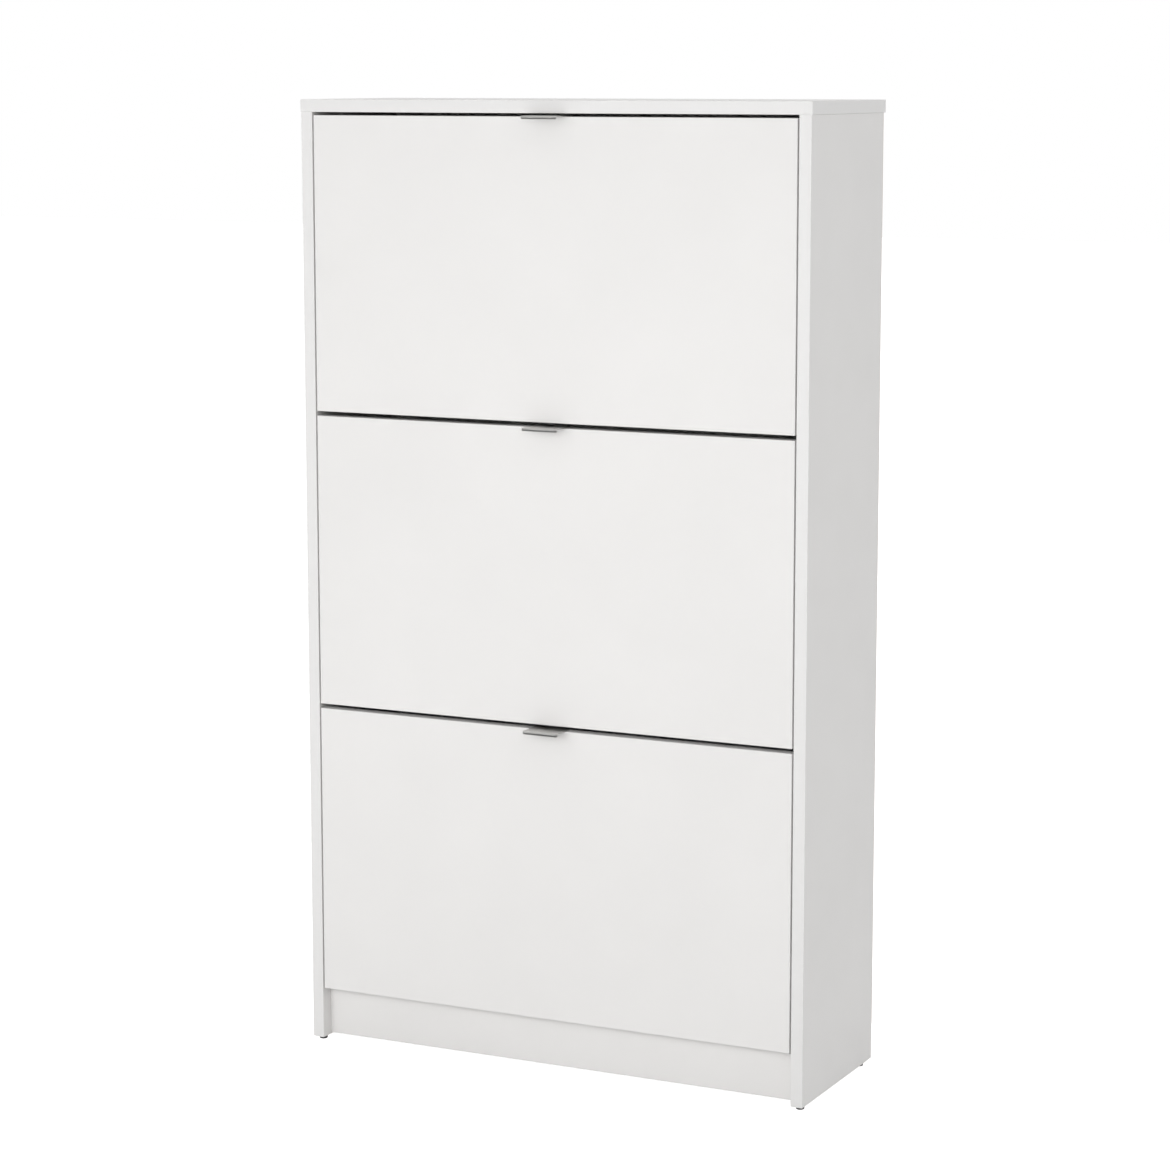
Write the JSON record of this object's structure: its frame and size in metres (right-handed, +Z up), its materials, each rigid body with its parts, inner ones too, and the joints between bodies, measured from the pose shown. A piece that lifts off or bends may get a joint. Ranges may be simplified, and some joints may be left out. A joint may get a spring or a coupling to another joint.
{
  "type": "shoe cabinet",
  "caption": "Tall shallow shoe cabinet: inset tip-out flaps with small metal tab handles and stepped shoe racks behind them, in a board carcass on a recessed plinth.",
  "frame": {"origin": "centre of the whole object's box, on the floor under the glides", "axes": "+Z up; +X to the right, seen from the front; -Y to the front, the way the flaps tip out"},
  "size_m": [0.704, 0.265, 1.239],
  "materials": {
    "white_board": "white melamine-faced chipboard, satin",
    "thin_board": "thin white-lacquered fibreboard, matt",
    "fitting_plastic": "moulded off-white plastic",
    "glide_plastic": "dark moulded plastic",
    "handle_steel": "satin nickel on bent steel sheet",
    "fastener_steel": "bright zinc plate",
    "zinc_fitting": "die-cast zinc, dull",
    "beech": "raw beech"
  },
  "bodies": {
    "carcass": {"top_panel": "white_board", "left_side": "white_board", "right_side": "white_board", "plinth": "white_board", "bottom_panel": "white_board", "lower_rail": "white_board", "middle_rail": "white_board", "upper_rail": "white_board", "lower_back": "thin_board", "upper_back": "thin_board", "back_strip": "fitting_plastic", "back_nails": "fastener_steel", "cam_locks": "zinc_fitting", "cam_bolts": "fastener_steel", "dowels": "beech", "glides": "glide_plastic", "pivot_pins": "fitting_plastic", "stop_pins": "fastener_steel", "wall_plates": "fastener_steel", "wall_plate_screws": "fastener_steel"},
    "lower_flap_unit": {"lower_flap": "white_board", "lower_handle": "handle_steel", "lower_flap_screws": "fastener_steel", "lower_left_bracket": "fitting_plastic", "lower_right_bracket": "fitting_plastic", "lower_front_floor": "thin_board", "lower_divider": "thin_board", "lower_rear_floor": "thin_board", "lower_rear_wall": "thin_board"},
    "middle_flap_unit": {"middle_flap": "white_board", "middle_handle": "handle_steel", "middle_flap_screws": "fastener_steel", "middle_left_bracket": "fitting_plastic", "middle_right_bracket": "fitting_plastic", "middle_front_floor": "thin_board", "middle_divider": "thin_board", "middle_rear_floor": "thin_board", "middle_rear_wall": "thin_board"},
    "upper_flap_unit": {"upper_flap": "white_board", "upper_handle": "handle_steel", "upper_flap_screws": "fastener_steel", "upper_left_bracket": "fitting_plastic", "upper_right_bracket": "fitting_plastic", "upper_front_floor": "thin_board", "upper_divider": "thin_board", "upper_rear_floor": "thin_board", "upper_rear_wall": "thin_board"}
  },
  "joints": [
    {"name": "lower_flap_tilt", "type": "hinge", "parent": "carcass", "child": "lower_flap_unit", "pos_m": [0, -0.0835, 0.163], "axis": [1, 0, 0], "range_deg": [0, 42]},
    {"name": "middle_flap_tilt", "type": "hinge", "parent": "carcass", "child": "middle_flap_unit", "pos_m": [0, -0.0835, 0.547], "axis": [1, 0, 0], "range_deg": [0, 42]},
    {"name": "upper_flap_tilt", "type": "hinge", "parent": "carcass", "child": "upper_flap_unit", "pos_m": [0, -0.0835, 0.931], "axis": [1, 0, 0], "range_deg": [0, 42]}
  ]
}
